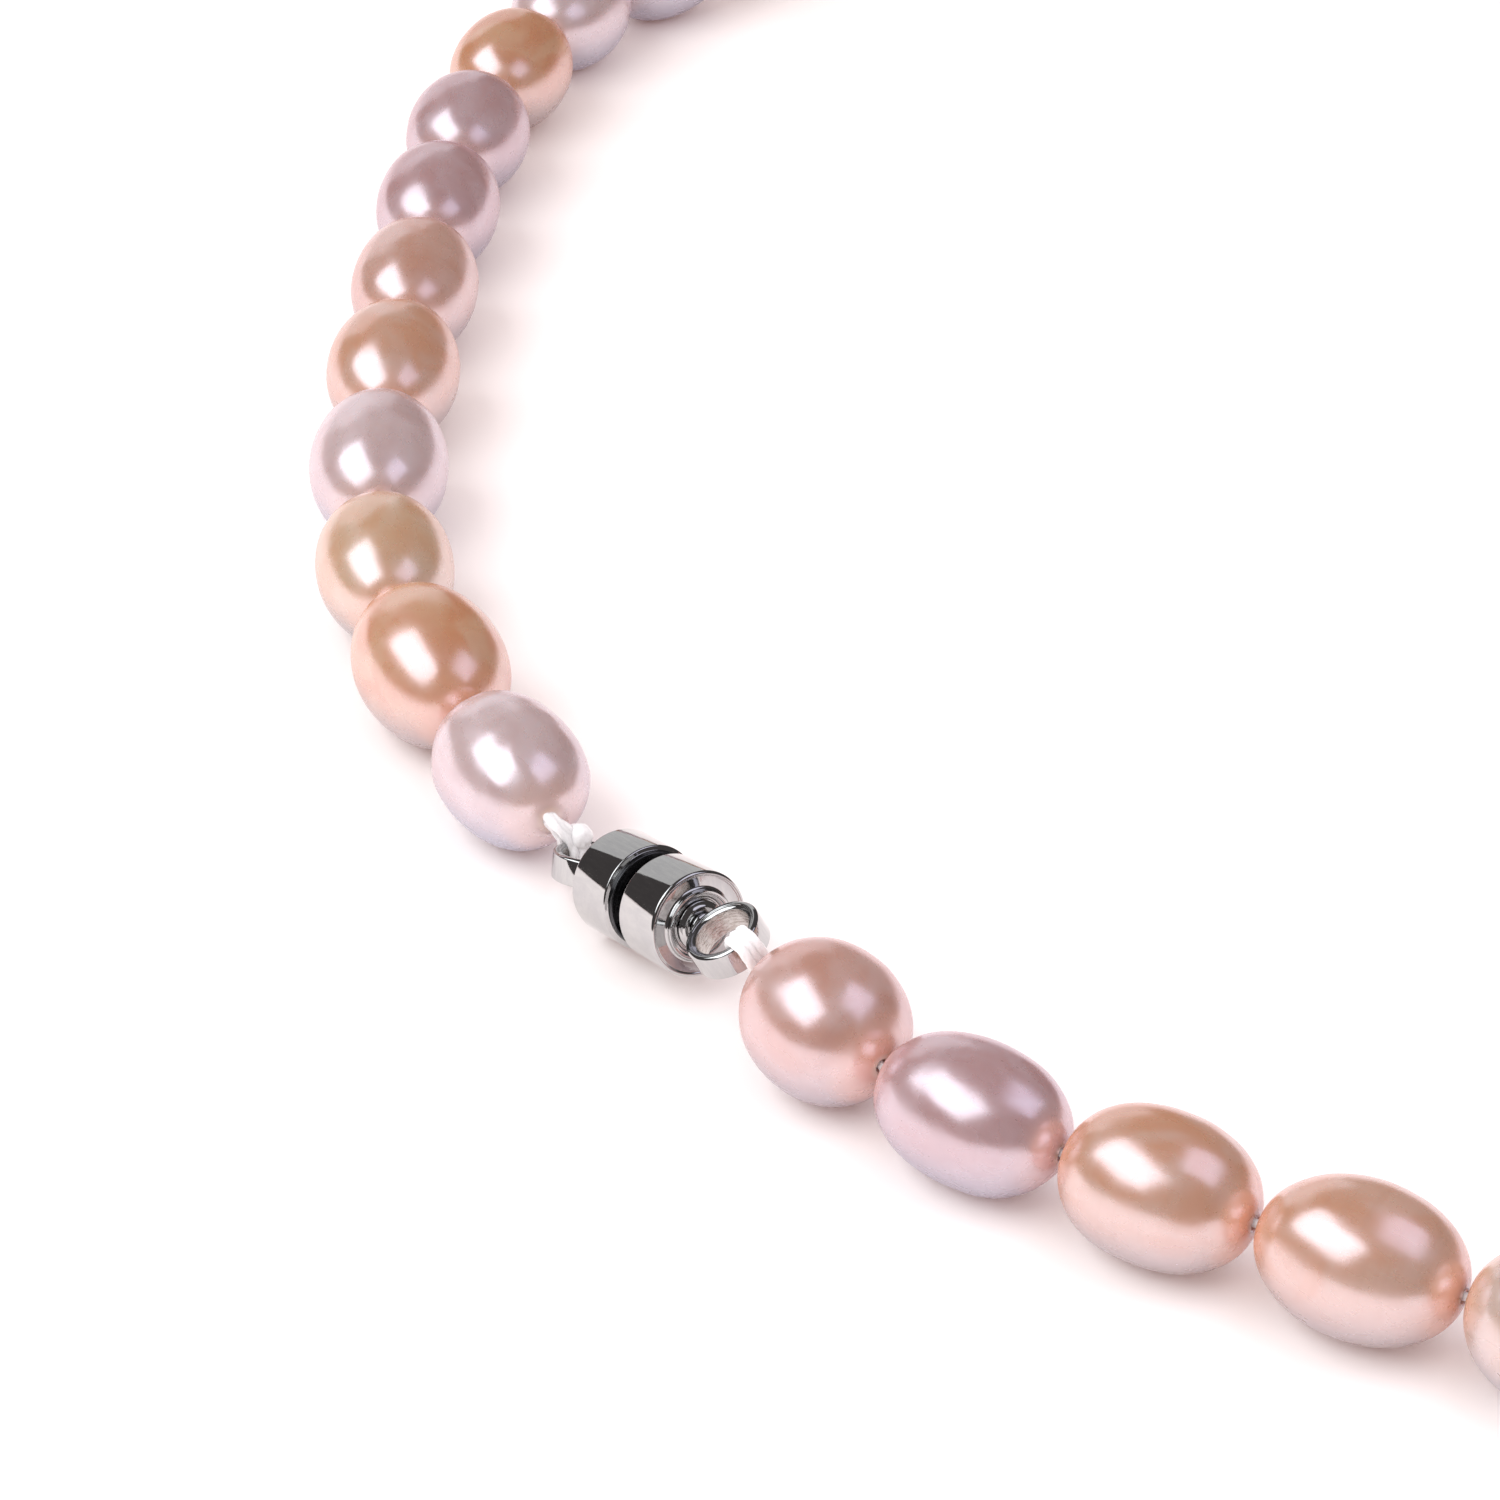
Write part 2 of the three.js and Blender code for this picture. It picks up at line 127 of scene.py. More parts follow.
class Nodes:
    """A material's node tree, with short calls to add and join nodes."""

    def __init__(self, name):
        self.material = bpy.data.materials.new(name)
        self.material.use_nodes = True
        self.tree = self.material.node_tree
        self.shader = self.tree.nodes["Principled BSDF"]
        self.place = self.add("ShaderNodeTexCoord").outputs["Object"]

    def add(self, kind, **settings):
        node = self.tree.nodes.new(kind)
        for key, value in settings.items():
            setattr(node, key, value)
        return node

    def link(self, source, target):
        self.tree.links.new(source, target)

    def set(self, **values):
        for key, value in values.items():
            self.shader.inputs[key.replace("_", " ")].default_value = value

    def scaled(self, scale, offset=(0, 0, 0)):
        mapping = self.add("ShaderNodeMapping")
        mapping.inputs["Scale"].default_value = scale
        mapping.inputs["Location"].default_value = offset
        self.link(self.place, mapping.inputs["Vector"])
        return mapping.outputs["Vector"]

    def noise(self, vector, scale, detail=3.0, roughness=0.5, distortion=0.0):
        node = self.add("ShaderNodeTexNoise")
        node.inputs["Scale"].default_value = scale
        node.inputs["Detail"].default_value = detail
        node.inputs["Roughness"].default_value = roughness
        node.inputs["Distortion"].default_value = distortion
        self.link(vector, node.inputs["Vector"])
        return node.outputs["Fac"]

    def span(self, value, low, high, to_low=0.0, to_high=1.0, smooth=True):
        node = self.add("ShaderNodeMapRange")
        node.interpolation_type = "SMOOTHSTEP" if smooth else "LINEAR"
        node.inputs["From Min"].default_value = low
        node.inputs["From Max"].default_value = high
        node.inputs["To Min"].default_value = to_low
        node.inputs["To Max"].default_value = to_high
        self.link(value, node.inputs["Value"])
        return node.outputs["Result"]

    def mix(self, factor, first, second, blend="MIX"):
        node = self.add("ShaderNodeMix", data_type="RGBA", blend_type=blend)
        sockets = [s for s in node.inputs if s.enabled]
        for socket, value in zip(sockets, (factor, first, second)):
            if isinstance(value, bpy.types.NodeSocket):
                self.link(value, socket)
            elif isinstance(value, (int, float)):
                socket.default_value = value
            else:
                socket.default_value = (*value, 1.0)
        return [s for s in node.outputs if s.enabled][0]

    def math(self, operation, first, second=0.0):
        node = self.add("ShaderNodeMath", operation=operation)
        for socket, value in zip(node.inputs, (first, second)):
            if isinstance(value, bpy.types.NodeSocket):
                self.link(value, socket)
            else:
                socket.default_value = value
        return node.outputs["Value"]

    def bump(self, height, strength, distance):
        node = self.add("ShaderNodeBump")
        node.inputs["Strength"].default_value = strength
        node.inputs["Distance"].default_value = distance
        self.link(height, node.inputs["Height"])
        self.link(node.outputs["Normal"], self.shader.inputs["Normal"])


# ---- materials ------------------------------------------------------------------------------

def nacre(name, shade, half_length, radius, seed):
    """Nacre of one pearl: clouds of two tones, growth bands, a painted floor reflection that makes the underside
    paler and lilac, and painted bounce light that makes the ends brighter.

    The pearl's own local X runs along its bore and its local Z is up when it lies at rest.
    """
    nodes = Nodes(name)
    body, cloud, tip = NACRE[shade]
    drift = (seed * 7.13, seed * 3.71, seed * 5.37)
    clouds = nodes.noise(nodes.scaled((260, 330, 330), drift), 1.0, detail=2.0, distortion=0.6)
    colour = nodes.mix(nodes.span(clouds, 0.36, 0.66), body, cloud)
    bands = nodes.noise(nodes.scaled((1500, 120, 120), drift), 1.0, detail=3.0, roughness=0.6)
    darker = tuple(channel * BAND_DARKNESS for channel in body)
    colour = nodes.mix(nodes.span(bands, 0.52, 0.74, 0.0, 0.24), colour, darker)
    split = nodes.add("ShaderNodeSeparateXYZ")
    nodes.link(nodes.place, split.inputs["Vector"])
    along = nodes.math("ABSOLUTE", split.outputs["X"])
    # Painted reflection of the white floor: the lower half is mixed towards a paler, cooler lilac.
    floor_reflection_tint = tuple(
        channel * kept + added
        for channel, kept, added in zip(body, FLOOR_REFLECTION_KEPT, FLOOR_REFLECTION_ADDED)
    )
    below = nodes.span(split.outputs["Z"], -0.55 * radius, 0.2 * radius, 0.9, 0.0)
    colour = nodes.mix(below, colour, floor_reflection_tint)
    # Painted bounce light: towards each end, where the pearls face each other, the colour turns brighter and more
    # orange.
    ends = nodes.span(along, half_length * 0.70, half_length * 0.99)
    colour = nodes.mix(ends, colour, tip)
    drill = nodes.span(along, half_length * 0.982, half_length * 0.994)
    colour = nodes.mix(drill, colour, DRILL_RIM)
    specks = nodes.noise(nodes.scaled((2600, 3400, 3400), drift), 1.0, detail=4.0, roughness=0.65)
    colour = nodes.mix(nodes.span(specks, 0.66, 0.78, 0.0, 0.08), colour, SPECK)
    nodes.link(colour, nodes.shader.inputs["Base Color"])
    gloss = nodes.noise(nodes.scaled((500, 900, 900), drift), 1.0)
    nodes.link(nodes.span(gloss, 0.3, 0.7, 0.24, 0.31), nodes.shader.inputs["Roughness"])
    pits = nodes.math("MULTIPLY", nodes.span(specks, 0.62, 0.8), -0.3)
    nodes.bump(nodes.math("ADD", nodes.math("MULTIPLY", bands, 0.8), pits), 0.025, 0.00006)
    nodes.set(Metallic=0.05, IOR=4.3, Specular_Tint=(0.90, 0.88, 1.0, 1.0))
    nodes.set(Coat_Weight=0.3, Coat_Roughness=0.14, Coat_IOR=1.45)
    nodes.set(Subsurface_Weight=0.15, Subsurface_Radius=(1.0, 0.5, 0.35), Subsurface_Scale=0.0012)
    return nodes.material


def polished_metal(name, brushed=False):
    """Rhodium plate: a mirror with fine handling marks, or turning lines where it is brushed."""
    nodes = Nodes(name)
    if brushed:
        lines = nodes.noise(nodes.scaled((9000, 1400, 3000)), 1.0, detail=4.0, roughness=0.6)
        tone = nodes.mix(nodes.span(lines, 0.3, 0.7), (0.42, 0.38, 0.35), (0.72, 0.70, 0.68))
        nodes.link(nodes.span(lines, 0.3, 0.7, 0.2, 0.36), nodes.shader.inputs["Roughness"])
        nodes.bump(lines, 0.5, 0.00005)
    else:
        marks = nodes.noise(nodes.scaled((900, 5200, 900)), 1.0, detail=5.0, roughness=0.7)
        tone = nodes.mix(nodes.span(marks, 0.35, 0.7), (0.50, 0.50, 0.505), (0.56, 0.56, 0.555))
        nodes.link(nodes.span(marks, 0.45, 0.75, 0.035, 0.12), nodes.shader.inputs["Roughness"])
        nodes.bump(marks, 0.03, 0.00004)
    nodes.link(tone, nodes.shader.inputs["Base Color"])
    nodes.set(Metallic=1.0)
    return nodes.material


def magnet_plating(name):
    """Dark nickel plate with faint turning rings."""
    nodes = Nodes(name)
    rings = nodes.noise(nodes.scaled((4200, 700, 700)), 1.0, detail=4.0, roughness=0.6)
    tone = nodes.mix(nodes.span(rings, 0.35, 0.65), (0.035, 0.036, 0.04), (0.10, 0.10, 0.105))
    nodes.link(tone, nodes.shader.inputs["Base Color"])
    nodes.link(nodes.span(rings, 0.35, 0.65, 0.18, 0.34), nodes.shader.inputs["Roughness"])
    nodes.bump(rings, 0.15, 0.00004)
    nodes.set(Metallic=0.9)
    return nodes.material


def silk(name, gloss=0.0):
    """White silk: fine fibres over the twisted plies; the knot is glazed smooth by its glue."""
    nodes = Nodes(name)
    fibres = nodes.noise(nodes.scaled((9000, 9000, 9000)), 1.0, detail=4.0, roughness=0.7)
    tone = nodes.mix(nodes.span(fibres, 0.3, 0.7), (0.88, 0.88, 0.89), (0.97, 0.97, 0.98))
    nodes.link(tone, nodes.shader.inputs["Base Color"])
    nodes.link(nodes.span(fibres, 0.3, 0.7, 0.42, 0.62), nodes.shader.inputs["Roughness"])
    nodes.bump(fibres, 0.35 - 0.3 * gloss, 0.00004)
    nodes.set(Subsurface_Weight=0.4, Subsurface_Radius=(1.0, 1.0, 1.0), Subsurface_Scale=0.0005)
    nodes.set(Sheen_Weight=0.3, Sheen_Roughness=0.4, Coat_Weight=gloss, Coat_Roughness=0.08)
    return nodes.material


# ---- mesh helpers ---------------------------------------------------------------------------

def new_object(name, vertices, faces, materials, place=None):
    mesh = bpy.data.meshes.new(name)
    mesh.from_pydata([tuple(v) for v in vertices], [], faces)
    mesh.validate()
    for material in materials:
        mesh.materials.append(material)
    mesh.shade_smooth()
    piece = bpy.data.objects.new(name, mesh)
    bpy.context.scene.collection.objects.link(piece)
    if place is not None:
        piece.matrix_world = place
    return piece


def end_caps(count, sides):
    """Faces that close the first and the last ring of so many vertices."""
    return [tuple(reversed(range(sides))), tuple(range(count - sides, count))]


def ring_faces(rings, sides, closed_rings=False):
    """Quads between neighbouring rings of vertices; closed rings join the last to the first."""
    faces = []
    for ring in range(rings if closed_rings else rings - 1):
        low, high = ring * sides, (ring + 1) % rings * sides
        for side in range(sides):
            after = (side + 1) % sides
            faces.append((low + side, low + after, high + after, high + side))
    return faces


def filleted(outline, cut, steps=3):
    """A closed outline with each corner rounded by a short arc that starts at most cut from it."""
    rounded = []
    count = len(outline)
    for i, corner in enumerate(outline):
        here = Vector(corner)
        before = Vector(outline[i - 1]) - here
        after = Vector(outline[(i + 1) % count]) - here
        reach = min(cut, before.length * 0.45, after.length * 0.45)
        start, end = here + before.normalized() * reach, here + after.normalized() * reach
        for step in range(steps + 1):
            t = step / steps
            rounded.append((1 - t) ** 2 * start + 2 * t * (1 - t) * here + t * t * end)
    return rounded


def lathe(name, outline, sides, materials, place, cut=0.06 * MM, steps=3):
    """A closed ring-shaped solid around local X. The outline's points are (along, radius)."""
    points = filleted(outline, cut, steps)
    vertices = []
    for along, radius in points:
        for side in range(sides):
            angle = 2 * math.pi * side / sides
            vertices.append((along, radius * math.cos(angle), radius * math.sin(angle)))
    faces = ring_faces(len(points), sides, closed_rings=True)
    return new_object(name, vertices, faces, materials, place)


def unioned(piece, other):
    """The piece with the other solid joined into its mesh; the other one is removed."""
    modifier = piece.modifiers.new("join", "BOOLEAN")
    modifier.operation = "UNION"
    modifier.solver = "EXACT"
    modifier.object = other
    bpy.context.view_layer.update()
    graph = bpy.context.evaluated_depsgraph_get()
    mesh = bpy.data.meshes.new_from_object(piece.evaluated_get(graph))
    piece.modifiers.clear()
    piece.data = mesh
    bpy.data.objects.remove(other)
    return piece


def node_points(name):
    return np.array([vertex.co for vertex in frame["nodes"][name].data.vertices])


# ---- pearls ---------------------------------------------------------------------------------

# The material slot that the record gives each node, such as nacre_rose.
SLOTS = {subpart["node"]: subpart["material_slot"] for subpart in frame["record"]["subparts"]}


class Pearl:
    """Where a CAD pearl lies and how big it is, read from its vertices."""

    def __init__(self, node):
        points = np.unique(np.round(node_points(node), 7), axis=0)
        self.node = node
        low, high = points.min(0), points.max(0)
        flat = points[:, :2] - points[:, :2].mean(0)
        spread, directions = np.linalg.eigh(flat.T @ flat)
        self.axis = Vector((*directions[:, np.argmax(spread)], 0.0)).normalized()
        along = points @ np.array(self.axis)
        self.centre = Vector((low + high) / 2)
        middle = (along.min() + along.max()) / 2
        self.centre += self.axis * (middle - self.centre.dot(self.axis))
        self.half_length = (along.max() - along.min()) / 2 + TIP_REACH
        self.radius = (high[2] - low[2]) / 2
        offsets = along - middle
        lift = np.abs(points[:, 2] - self.centre.z)
        far, near = (lift[s * offsets > 0].max() for s in (1, -1))
        self.taper = (far - near) / (far + near) * 2.2

    def tip(self, towards):
        """The pearl's tip on the side of the other point."""
        side = 1 if (towards - self.centre).dot(self.axis) > 0 else -1
        return self.centre + self.axis * side * self.half_length


def make_pearl(pearl, index):
    """A drilled pearl with its own gentle unevenness, standing for its CAD solid."""
    blunt = BLUNTNESS + BLUNTNESS_SPREAD * math.sin(index * 2.3)
    drill_place = 1 - (DRILL_RADIUS / pearl.radius) ** 2 / 2
    vertices = []
    seed = Vector((index * 3.1, index * 1.7, index * 2.3))
    lumps = LUMPY.get(pearl.node, 1.0)

    def add_ring(along, radius, uneven=True):
        for side in range(PEARL_SIDES):
            angle = 2 * math.pi * side / PEARL_SIDES
            round_out = Vector((along, radius * math.cos(angle), radius * math.sin(angle)))
            if uneven:
                field = round_out / pearl.radius
                swell = BROAD_SWELL * noise.noise(field * 1.1 + seed)
                swell += FINE_SWELL * noise.noise(field * 3.1 + seed)
                swell -= DENT * max(0.0, noise.noise(field * 2.0 - seed) - 0.25)
                # It fades out near the bore, and nothing passes below the resting surface.
                fade = min(1.0, radius / (0.5 * pearl.radius)) ** 2
                round_out *= 1 + swell * fade * lumps
                round_out.z = max(round_out.z, -pearl.centre.z)
            vertices.append(round_out)

    for depth in (DRILL_DEPTH, DRILL_BEVEL):
        add_ring(depth - pearl.half_length, DRILL_RADIUS, uneven=False)
    for ring in range(PEARL_RINGS + 1):
        angle = math.pi * ring / PEARL_RINGS
        place = -math.cos(angle) * drill_place
        profile = (1 - abs(place) ** blunt) ** (1 / blunt)
        radius = pearl.radius * profile * (1 + pearl.taper * place * 0.5)
        add_ring(place * pearl.half_length, max(radius, DRILL_RADIUS + DRILL_BEVEL))
    for depth in (DRILL_BEVEL, DRILL_DEPTH):
        add_ring(pearl.half_length - depth, DRILL_RADIUS, uneven=False)
    faces = ring_faces(len(vertices) // PEARL_SIDES, PEARL_SIDES, closed_rings=True)
    across = Vector((0, 0, 1)).cross(pearl.axis)
    place = Matrix((pearl.axis, across, (0, 0, 1))).transposed().to_4x4()
    place.translation = pearl.centre
    slot = SLOTS[pearl.node]
    shade = slot.split("_")[1]
    name = "nacre_" + pearl.node
    material = nacre(name, shade, pearl.half_length, pearl.radius, index)
    piece = new_object(name, vertices, faces, [material], place)
    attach(piece, pearl.node)
    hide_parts(pearl.node)
    return piece


def arm(side):
    """The pearls of one arm, from the clasp outward."""
    return [Pearl(name) for name in sorted(frame["nodes"]) if name.startswith(f"pearl_{side}_")]


LEFT = arm("left")
RIGHT = arm("right")
CENTRE = Pearl("pearl_centre")


# ---- silk -----------------------------------------------------------------------------------

def thread(name, route, radius, material, sides=18, plies=3):
    """A twisted thread along a smooth route: its plies show as ridges that wind around it."""
    points = [Vector(point) for point in route]
    vertices = []
    tangent = (points[1] - points[0]).normalized()
    across = tangent.orthogonal().normalized()
    travelled = 0.0
    for i, point in enumerate(points):
        before, after = points[max(i - 1, 0)], points[min(i + 1, len(points) - 1)]
        tangent = (after - before).normalized()
        across = (across - tangent * across.dot(tangent)).normalized()
        up = tangent.cross(across)
        travelled += (point - before).length
        for side in range(sides):
            angle = 2 * math.pi * side / sides
            ply = abs(math.cos(plies * (angle - travelled * THREAD_TWIST) / 2))
            ridge = 1 + THREAD_RIDGE * ply - THREAD_RIDGE / 2
            outward = across * math.cos(angle) + up * math.sin(angle)
            vertices.append(point + outward * radius * ridge)
    faces = ring_faces(len(points), sides) + end_caps(len(vertices), sides)
    return new_object(name, vertices, faces, [material])


def smooth_route(corners, step):
    """Points every step along a centripetal curve through the corners."""
    corners = [Vector(corner) for corner in corners]
    ends = [corners[0] * 2 - corners[1], *corners, corners[-1] * 2 - corners[-2]]
    route = []
    for a, b, c, d in zip(ends, ends[1:], ends[2:], ends[3:]):
        count = max(2, round((c - b).length / step))
        knots = [0.0]
        for start, end in ((a, b), (b, c), (c, d)):
            knots.append(knots[-1] + max((end - start).length, 1e-7) ** 0.5)
        for i in range(count):
            t = knots[1] + (knots[2] - knots[1]) * i / count
            one = a.lerp(b, (t - knots[0]) / (knots[1] - knots[0]))
            two = b.lerp(c, (t - knots[1]) / (knots[2] - knots[1]))
            three = c.lerp(d, (t - knots[2]) / (knots[3] - knots[2]))
            low = one.lerp(two, (t - knots[0]) / (knots[2] - knots[0]))
            high = two.lerp(three, (t - knots[1]) / (knots[3] - knots[1]))
            route.append(low.lerp(high, (t - knots[1]) / (knots[2] - knots[1])))
    route.append(corners[-1])
    return route


def strand_piece(first, second, index):
    """The strand across one gap, from inside one pearl's bore to inside the next one's."""
    start, end = first.tip(second.centre), second.tip(first.centre)
    deep, shallow = 0.9, 0.3
    into_first = (first.centre - start).normalized() * DRILL_DEPTH * deep
    into_second = (second.centre - end).normalized() * DRILL_DEPTH * deep
    corners = [
        start + into_first,
        start + into_first * shallow,
        end + into_second * shallow,
        end + into_second,
    ]
    route = smooth_route(corners, GAP_THREAD_STEP)
    piece = thread(f"silk_gap_{index:02d}", route, GAP_THREAD_RADIUS, SILK)
    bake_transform(piece)
    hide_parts("silk_strand")


SILK = silk("silk_thread")
GLAZED_SILK = silk("glazed_silk", gloss=0.8)


# ---- clasp ----------------------------------------------------------------------------------

class Clasp:
    """The clasp's own frame: local X along the barrel to its right half, local Z upward."""

    def __init__(self):
        joints = {joint["name"]: joint for joint in frame["joints"]}
        right, left = joints["clasp_half_right_swivel"], joints["clasp_half_left_swivel"]
        self.centre = (Vector(right["pos_m"]) + Vector(left["pos_m"])) / 2
        self.axis = Vector(right["axis"]).normalized()
        self.up = (Vector((0, 0, 1)) - self.axis * self.axis.z).normalized()
        across = self.up.cross(self.axis)
        self.frame = Matrix((self.axis, across, self.up)).transposed().to_4x4()
        self.frame.translation = self.centre

    def half(self, side):
        """The frame of one half, whose local X points out of that half's end."""
        turn = Matrix.Rotation(math.pi if side == "left" else 0.0, 4, "Z")
        return self.frame @ turn

    def local(self, node, side):
        """The node's points in the frame of that half."""
        inverse = np.array(self.half(side).inverted())
        points = node_points(node)
        return points @ inverse[:3, :3].T + inverse[:3, 3]


CLASP = Clasp()
MIRROR = polished_metal("rhodium_mirror")
BRUSHED = polished_metal("rhodium_brushed", brushed=True)
MAGNET = magnet_plating("magnet_nickel")


def make_shell(side):
    """A turned cup: a ledge at the mating face, a rounded rim and a stepped collar on the end."""
    points = CLASP.local(f"clasp_shell_{side}", side)
    radii = np.hypot(points[:, 1], points[:, 2])
    start, end = points[:, 0].min(), points[:, 0].max() - COLLAR
    outer, hole = radii.max(), radii.min()
    floor = end - END_WALL
    ledge = start + LEDGE
    outline = [
        (start, CUP_RADIUS),
        (start, outer - 0.34 * MM),
        (start + 0.06 * MM, outer - 0.28 * MM),
        (ledge, outer - 0.28 * MM),
        (ledge + 0.05 * MM, outer - 0.05 * MM),
        (ledge + BEVEL, outer),
        (end - BEVEL, outer),
        (end, outer - BEVEL),
        (end, outer - 0.2 * MM),
        (end - 0.07 * MM, outer - 0.27 * MM),
        (end - 0.07 * MM, 2.12 * MM),
        (end + 0.02 * MM, 2.02 * MM),
        (end + COLLAR, 1.98 * MM),
        (end + COLLAR, 1.78 * MM),
        (end + 0.1 * MM, 1.74 * MM),
        (end + 0.1 * MM, 1.62 * MM),
        (end - 0.05 * MM, 1.56 * MM),
        (end - 0.05 * MM, 1.47 * MM),
        (end, 1.44 * MM),
        (end, hole),
        (floor, hole),
        (floor, CUP_RADIUS),
    ]
    name = f"polished_shell_{side}"
    piece = lathe(name, outline, CLASP_SIDES, [MIRROR, MAGNET], CLASP.half(side), 0.05 * MM)
    for face in piece.data.polygons:
        if face.center.x < ledge:
            face.material_index = 1
    return piece


def finish_clasp(piece, node, body):
    """Keeps the turned edges crisp, gives the piece its body and hides the CAD node it stands for."""
    piece.data.set_sharp_from_angle(angle=math.radians(50))
    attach(piece, body)
    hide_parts(node)


def make_magnet(side):
    points = CLASP.local(f"clasp_magnet_{side}", side)
    start, end = points[:, 0].min(), points[:, 0].max()
    outer = np.hypot(points[:, 1], points[:, 2]).max()
    edge = 0.08 * MM
    outline = [
        (start, AXIS_BORE),
        (start, outer - edge),
        (start + edge, outer),
        (end, outer),
        (end, AXIS_BORE),
    ]
    return lathe(f"plated_magnet_{side}", outline, CLASP_SIDES, [MAGNET], CLASP.half(side))


def make_washer(side):
    points = CLASP.local(f"clasp_washer_{side}", side)
    radii = np.hypot(points[:, 1], points[:, 2])
    start, end = points[:, 0].min(), points[:, 0].max()
    outer, inner = radii.max(), radii.min()
    edge = 0.08 * MM
    outline = [
        (start, inner),
        (start, outer),
        (start + BEVEL, outer),
        (end - edge, outer - 0.2 * MM),
        (end, outer - 0.3 * MM),
        (end, inner + 0.15 * MM),
        (end - edge, inner),
    ]
    name = f"turned_washer_{side}"
    return lathe(name, outline, CLASP_SIDES, [MIRROR], CLASP.half(side), 0.04 * MM)


class Eye:
    """The ring at a half's end, read from the CAD eye: its middle, hole axis, radii and height."""

    def __init__(self, side):
        points = CLASP.local(f"clasp_eye_{side}", side)
        far = points[:, 0].max()
        spread = np.abs(points[:, 1:]).max()
        ring = points[points[:, 0] > far - 2 * spread]
        flat = ring - ring.mean(0)
        directions = np.linalg.eigh(flat.T @ flat)[1]
        normal = Vector(directions[:, 0])
        normal.x = 0.0
        self.normal = normal.normalized() * (1 if normal.z > 0 else -1)
        heights = ring @ np.array(self.normal)
        self.height = heights.max() - heights.min()
        cross = Vector((1, 0, 0)).cross(self.normal)
        widths = ring @ np.array(cross)
        self.outer = (widths.max() - widths.min()) / 2
        self.middle = far - self.outer
        offset = ring - np.array((self.middle, 0, 0))
        inward = np.hypot(offset[:, 0], offset @ np.array(cross))
        self.hole = inward[inward > self.outer * 0.5].min()
        self.points = points


def make_eye(side):
    """A bevelled ring with brushed inner walls, joined to its neck, stem and inner flange."""
    eye = Eye(side)
    top, chamfer = eye.height / 2, BEVEL
    across = eye.normal.cross(Vector((1, 0, 0)))
    ring_frame = Matrix((eye.normal, Vector((1, 0, 0)), -across)).transposed().to_4x4()
    ring_frame.translation = Vector((eye.middle, 0, 0))
    outline = [
        (-top, eye.hole + chamfer * 1.6),
        (-top, eye.outer - chamfer * 1.4),
        (-top + chamfer, eye.outer),
        (top - chamfer, eye.outer),
        (top, eye.outer - chamfer * 1.4),
        (top, eye.hole + chamfer * 3.0),
        (top - chamfer * 0.6, eye.hole + chamfer * 2.6),
        (top - chamfer * 0.6, eye.hole + chamfer * 1.8),
        (top - chamfer * 1.4, eye.hole),
        (-top + chamfer * 1.4, eye.hole),
    ]
    finishes = [MIRROR, BRUSHED]
    place = CLASP.half(side) @ ring_frame
    ring = lathe(f"eye_ring_{side}", outline, CLASP_SIDES, finishes, place)
    inner_wall = eye.hole + chamfer * 0.3
    for face in ring.data.polygons:
        if math.hypot(face.center.y, face.center.z) < inner_wall:
            face.material_index = 1
    radii = np.hypot(eye.points[:, 1], eye.points[:, 2])
    start = eye.points[:, 0].min()
    flange = radii[np.abs(eye.points[:, 0] - start) < 0.01 * MM].max()
    neck_end = eye.middle - (eye.outer + eye.hole) / 2
    flange_depth = stem_radius = 0.4 * MM
    stem_outline = [
        (start, AXIS_BORE),
        (start, flange),
        (start + flange_depth, flange),
        (start + flange_depth, stem_radius),
        (neck_end - 0.62 * MM, stem_radius),
        (neck_end - 0.6 * MM, 0.78 * MM),
        (neck_end - 0.42 * MM, 0.82 * MM),
        (neck_end - 0.3 * MM, 0.66 * MM),
        (neck_end + 0.02 * MM, 0.72 * MM),
        (neck_end + 0.02 * MM, AXIS_BORE),
    ]
    stem = lathe(f"eye_stem_{side}", stem_outline, CLASP_SIDES, finishes, CLASP.half(side))
    return unioned(ring, stem)


def make_loops(side, pearl):
    """Silk from the end pearl's bore, around the far side of the eye and back into the bore."""
    eye = Eye(side)
    half = CLASP.half(side)
    turn = half.to_3x3()
    outward = turn @ Vector((1, 0, 0))
    upward = turn @ eye.normal
    band = half @ Vector((eye.middle + (eye.outer + eye.hole) / 2, 0, 0))
    mouth = pearl.tip(band)
    if (mouth - band).dot(upward) < 0:
        upward.negate()
    lateral = outward.cross(upward)
    into = (pearl.centre - mouth).normalized()
    clear = THREAD_RADIUS * 1.15
    reach_out = (eye.outer - eye.hole) / 2 + clear
    reach_up = eye.height / 2 + clear
    deep, shallow, before = into * 1.1 * MM, into * 0.2 * MM, into * 0.12 * MM
    low = Vector((0, 0, -0.13 * MM))
    for strand in (-1, 0, 1):
        shift = lateral * THREAD_SPACING * strand
        tuck = lateral * THREAD_SPACING * 0.35 * strand
        ease = outward * 0.05 * MM * abs(strand)

        def around(out, up):
            return band + outward * out + upward * up + shift + ease

        corners = [
            mouth + deep + low + tuck,
            mouth + shallow + low + tuck,
            around(reach_out, reach_up * 0.55),
            around(reach_out, -reach_up * 0.6),
            around(0.0, -reach_up),
            around(-reach_out, -reach_up * 0.6),
            around(-reach_out, reach_up * 0.6),
            mouth - before - low + tuck,
            mouth + deep - low + tuck,
        ]
        name = f"silk_turn_{side}_{strand + 2}"
        piece = thread(name, smooth_route(corners, LOOP_THREAD_STEP), THREAD_RADIUS, SILK)
        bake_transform(piece)
        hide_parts(f"silk_loop_{side}")
    if side == "left":
        make_knot(band + upward * reach_up * 1.05 - outward * reach_out * 0.5, side)


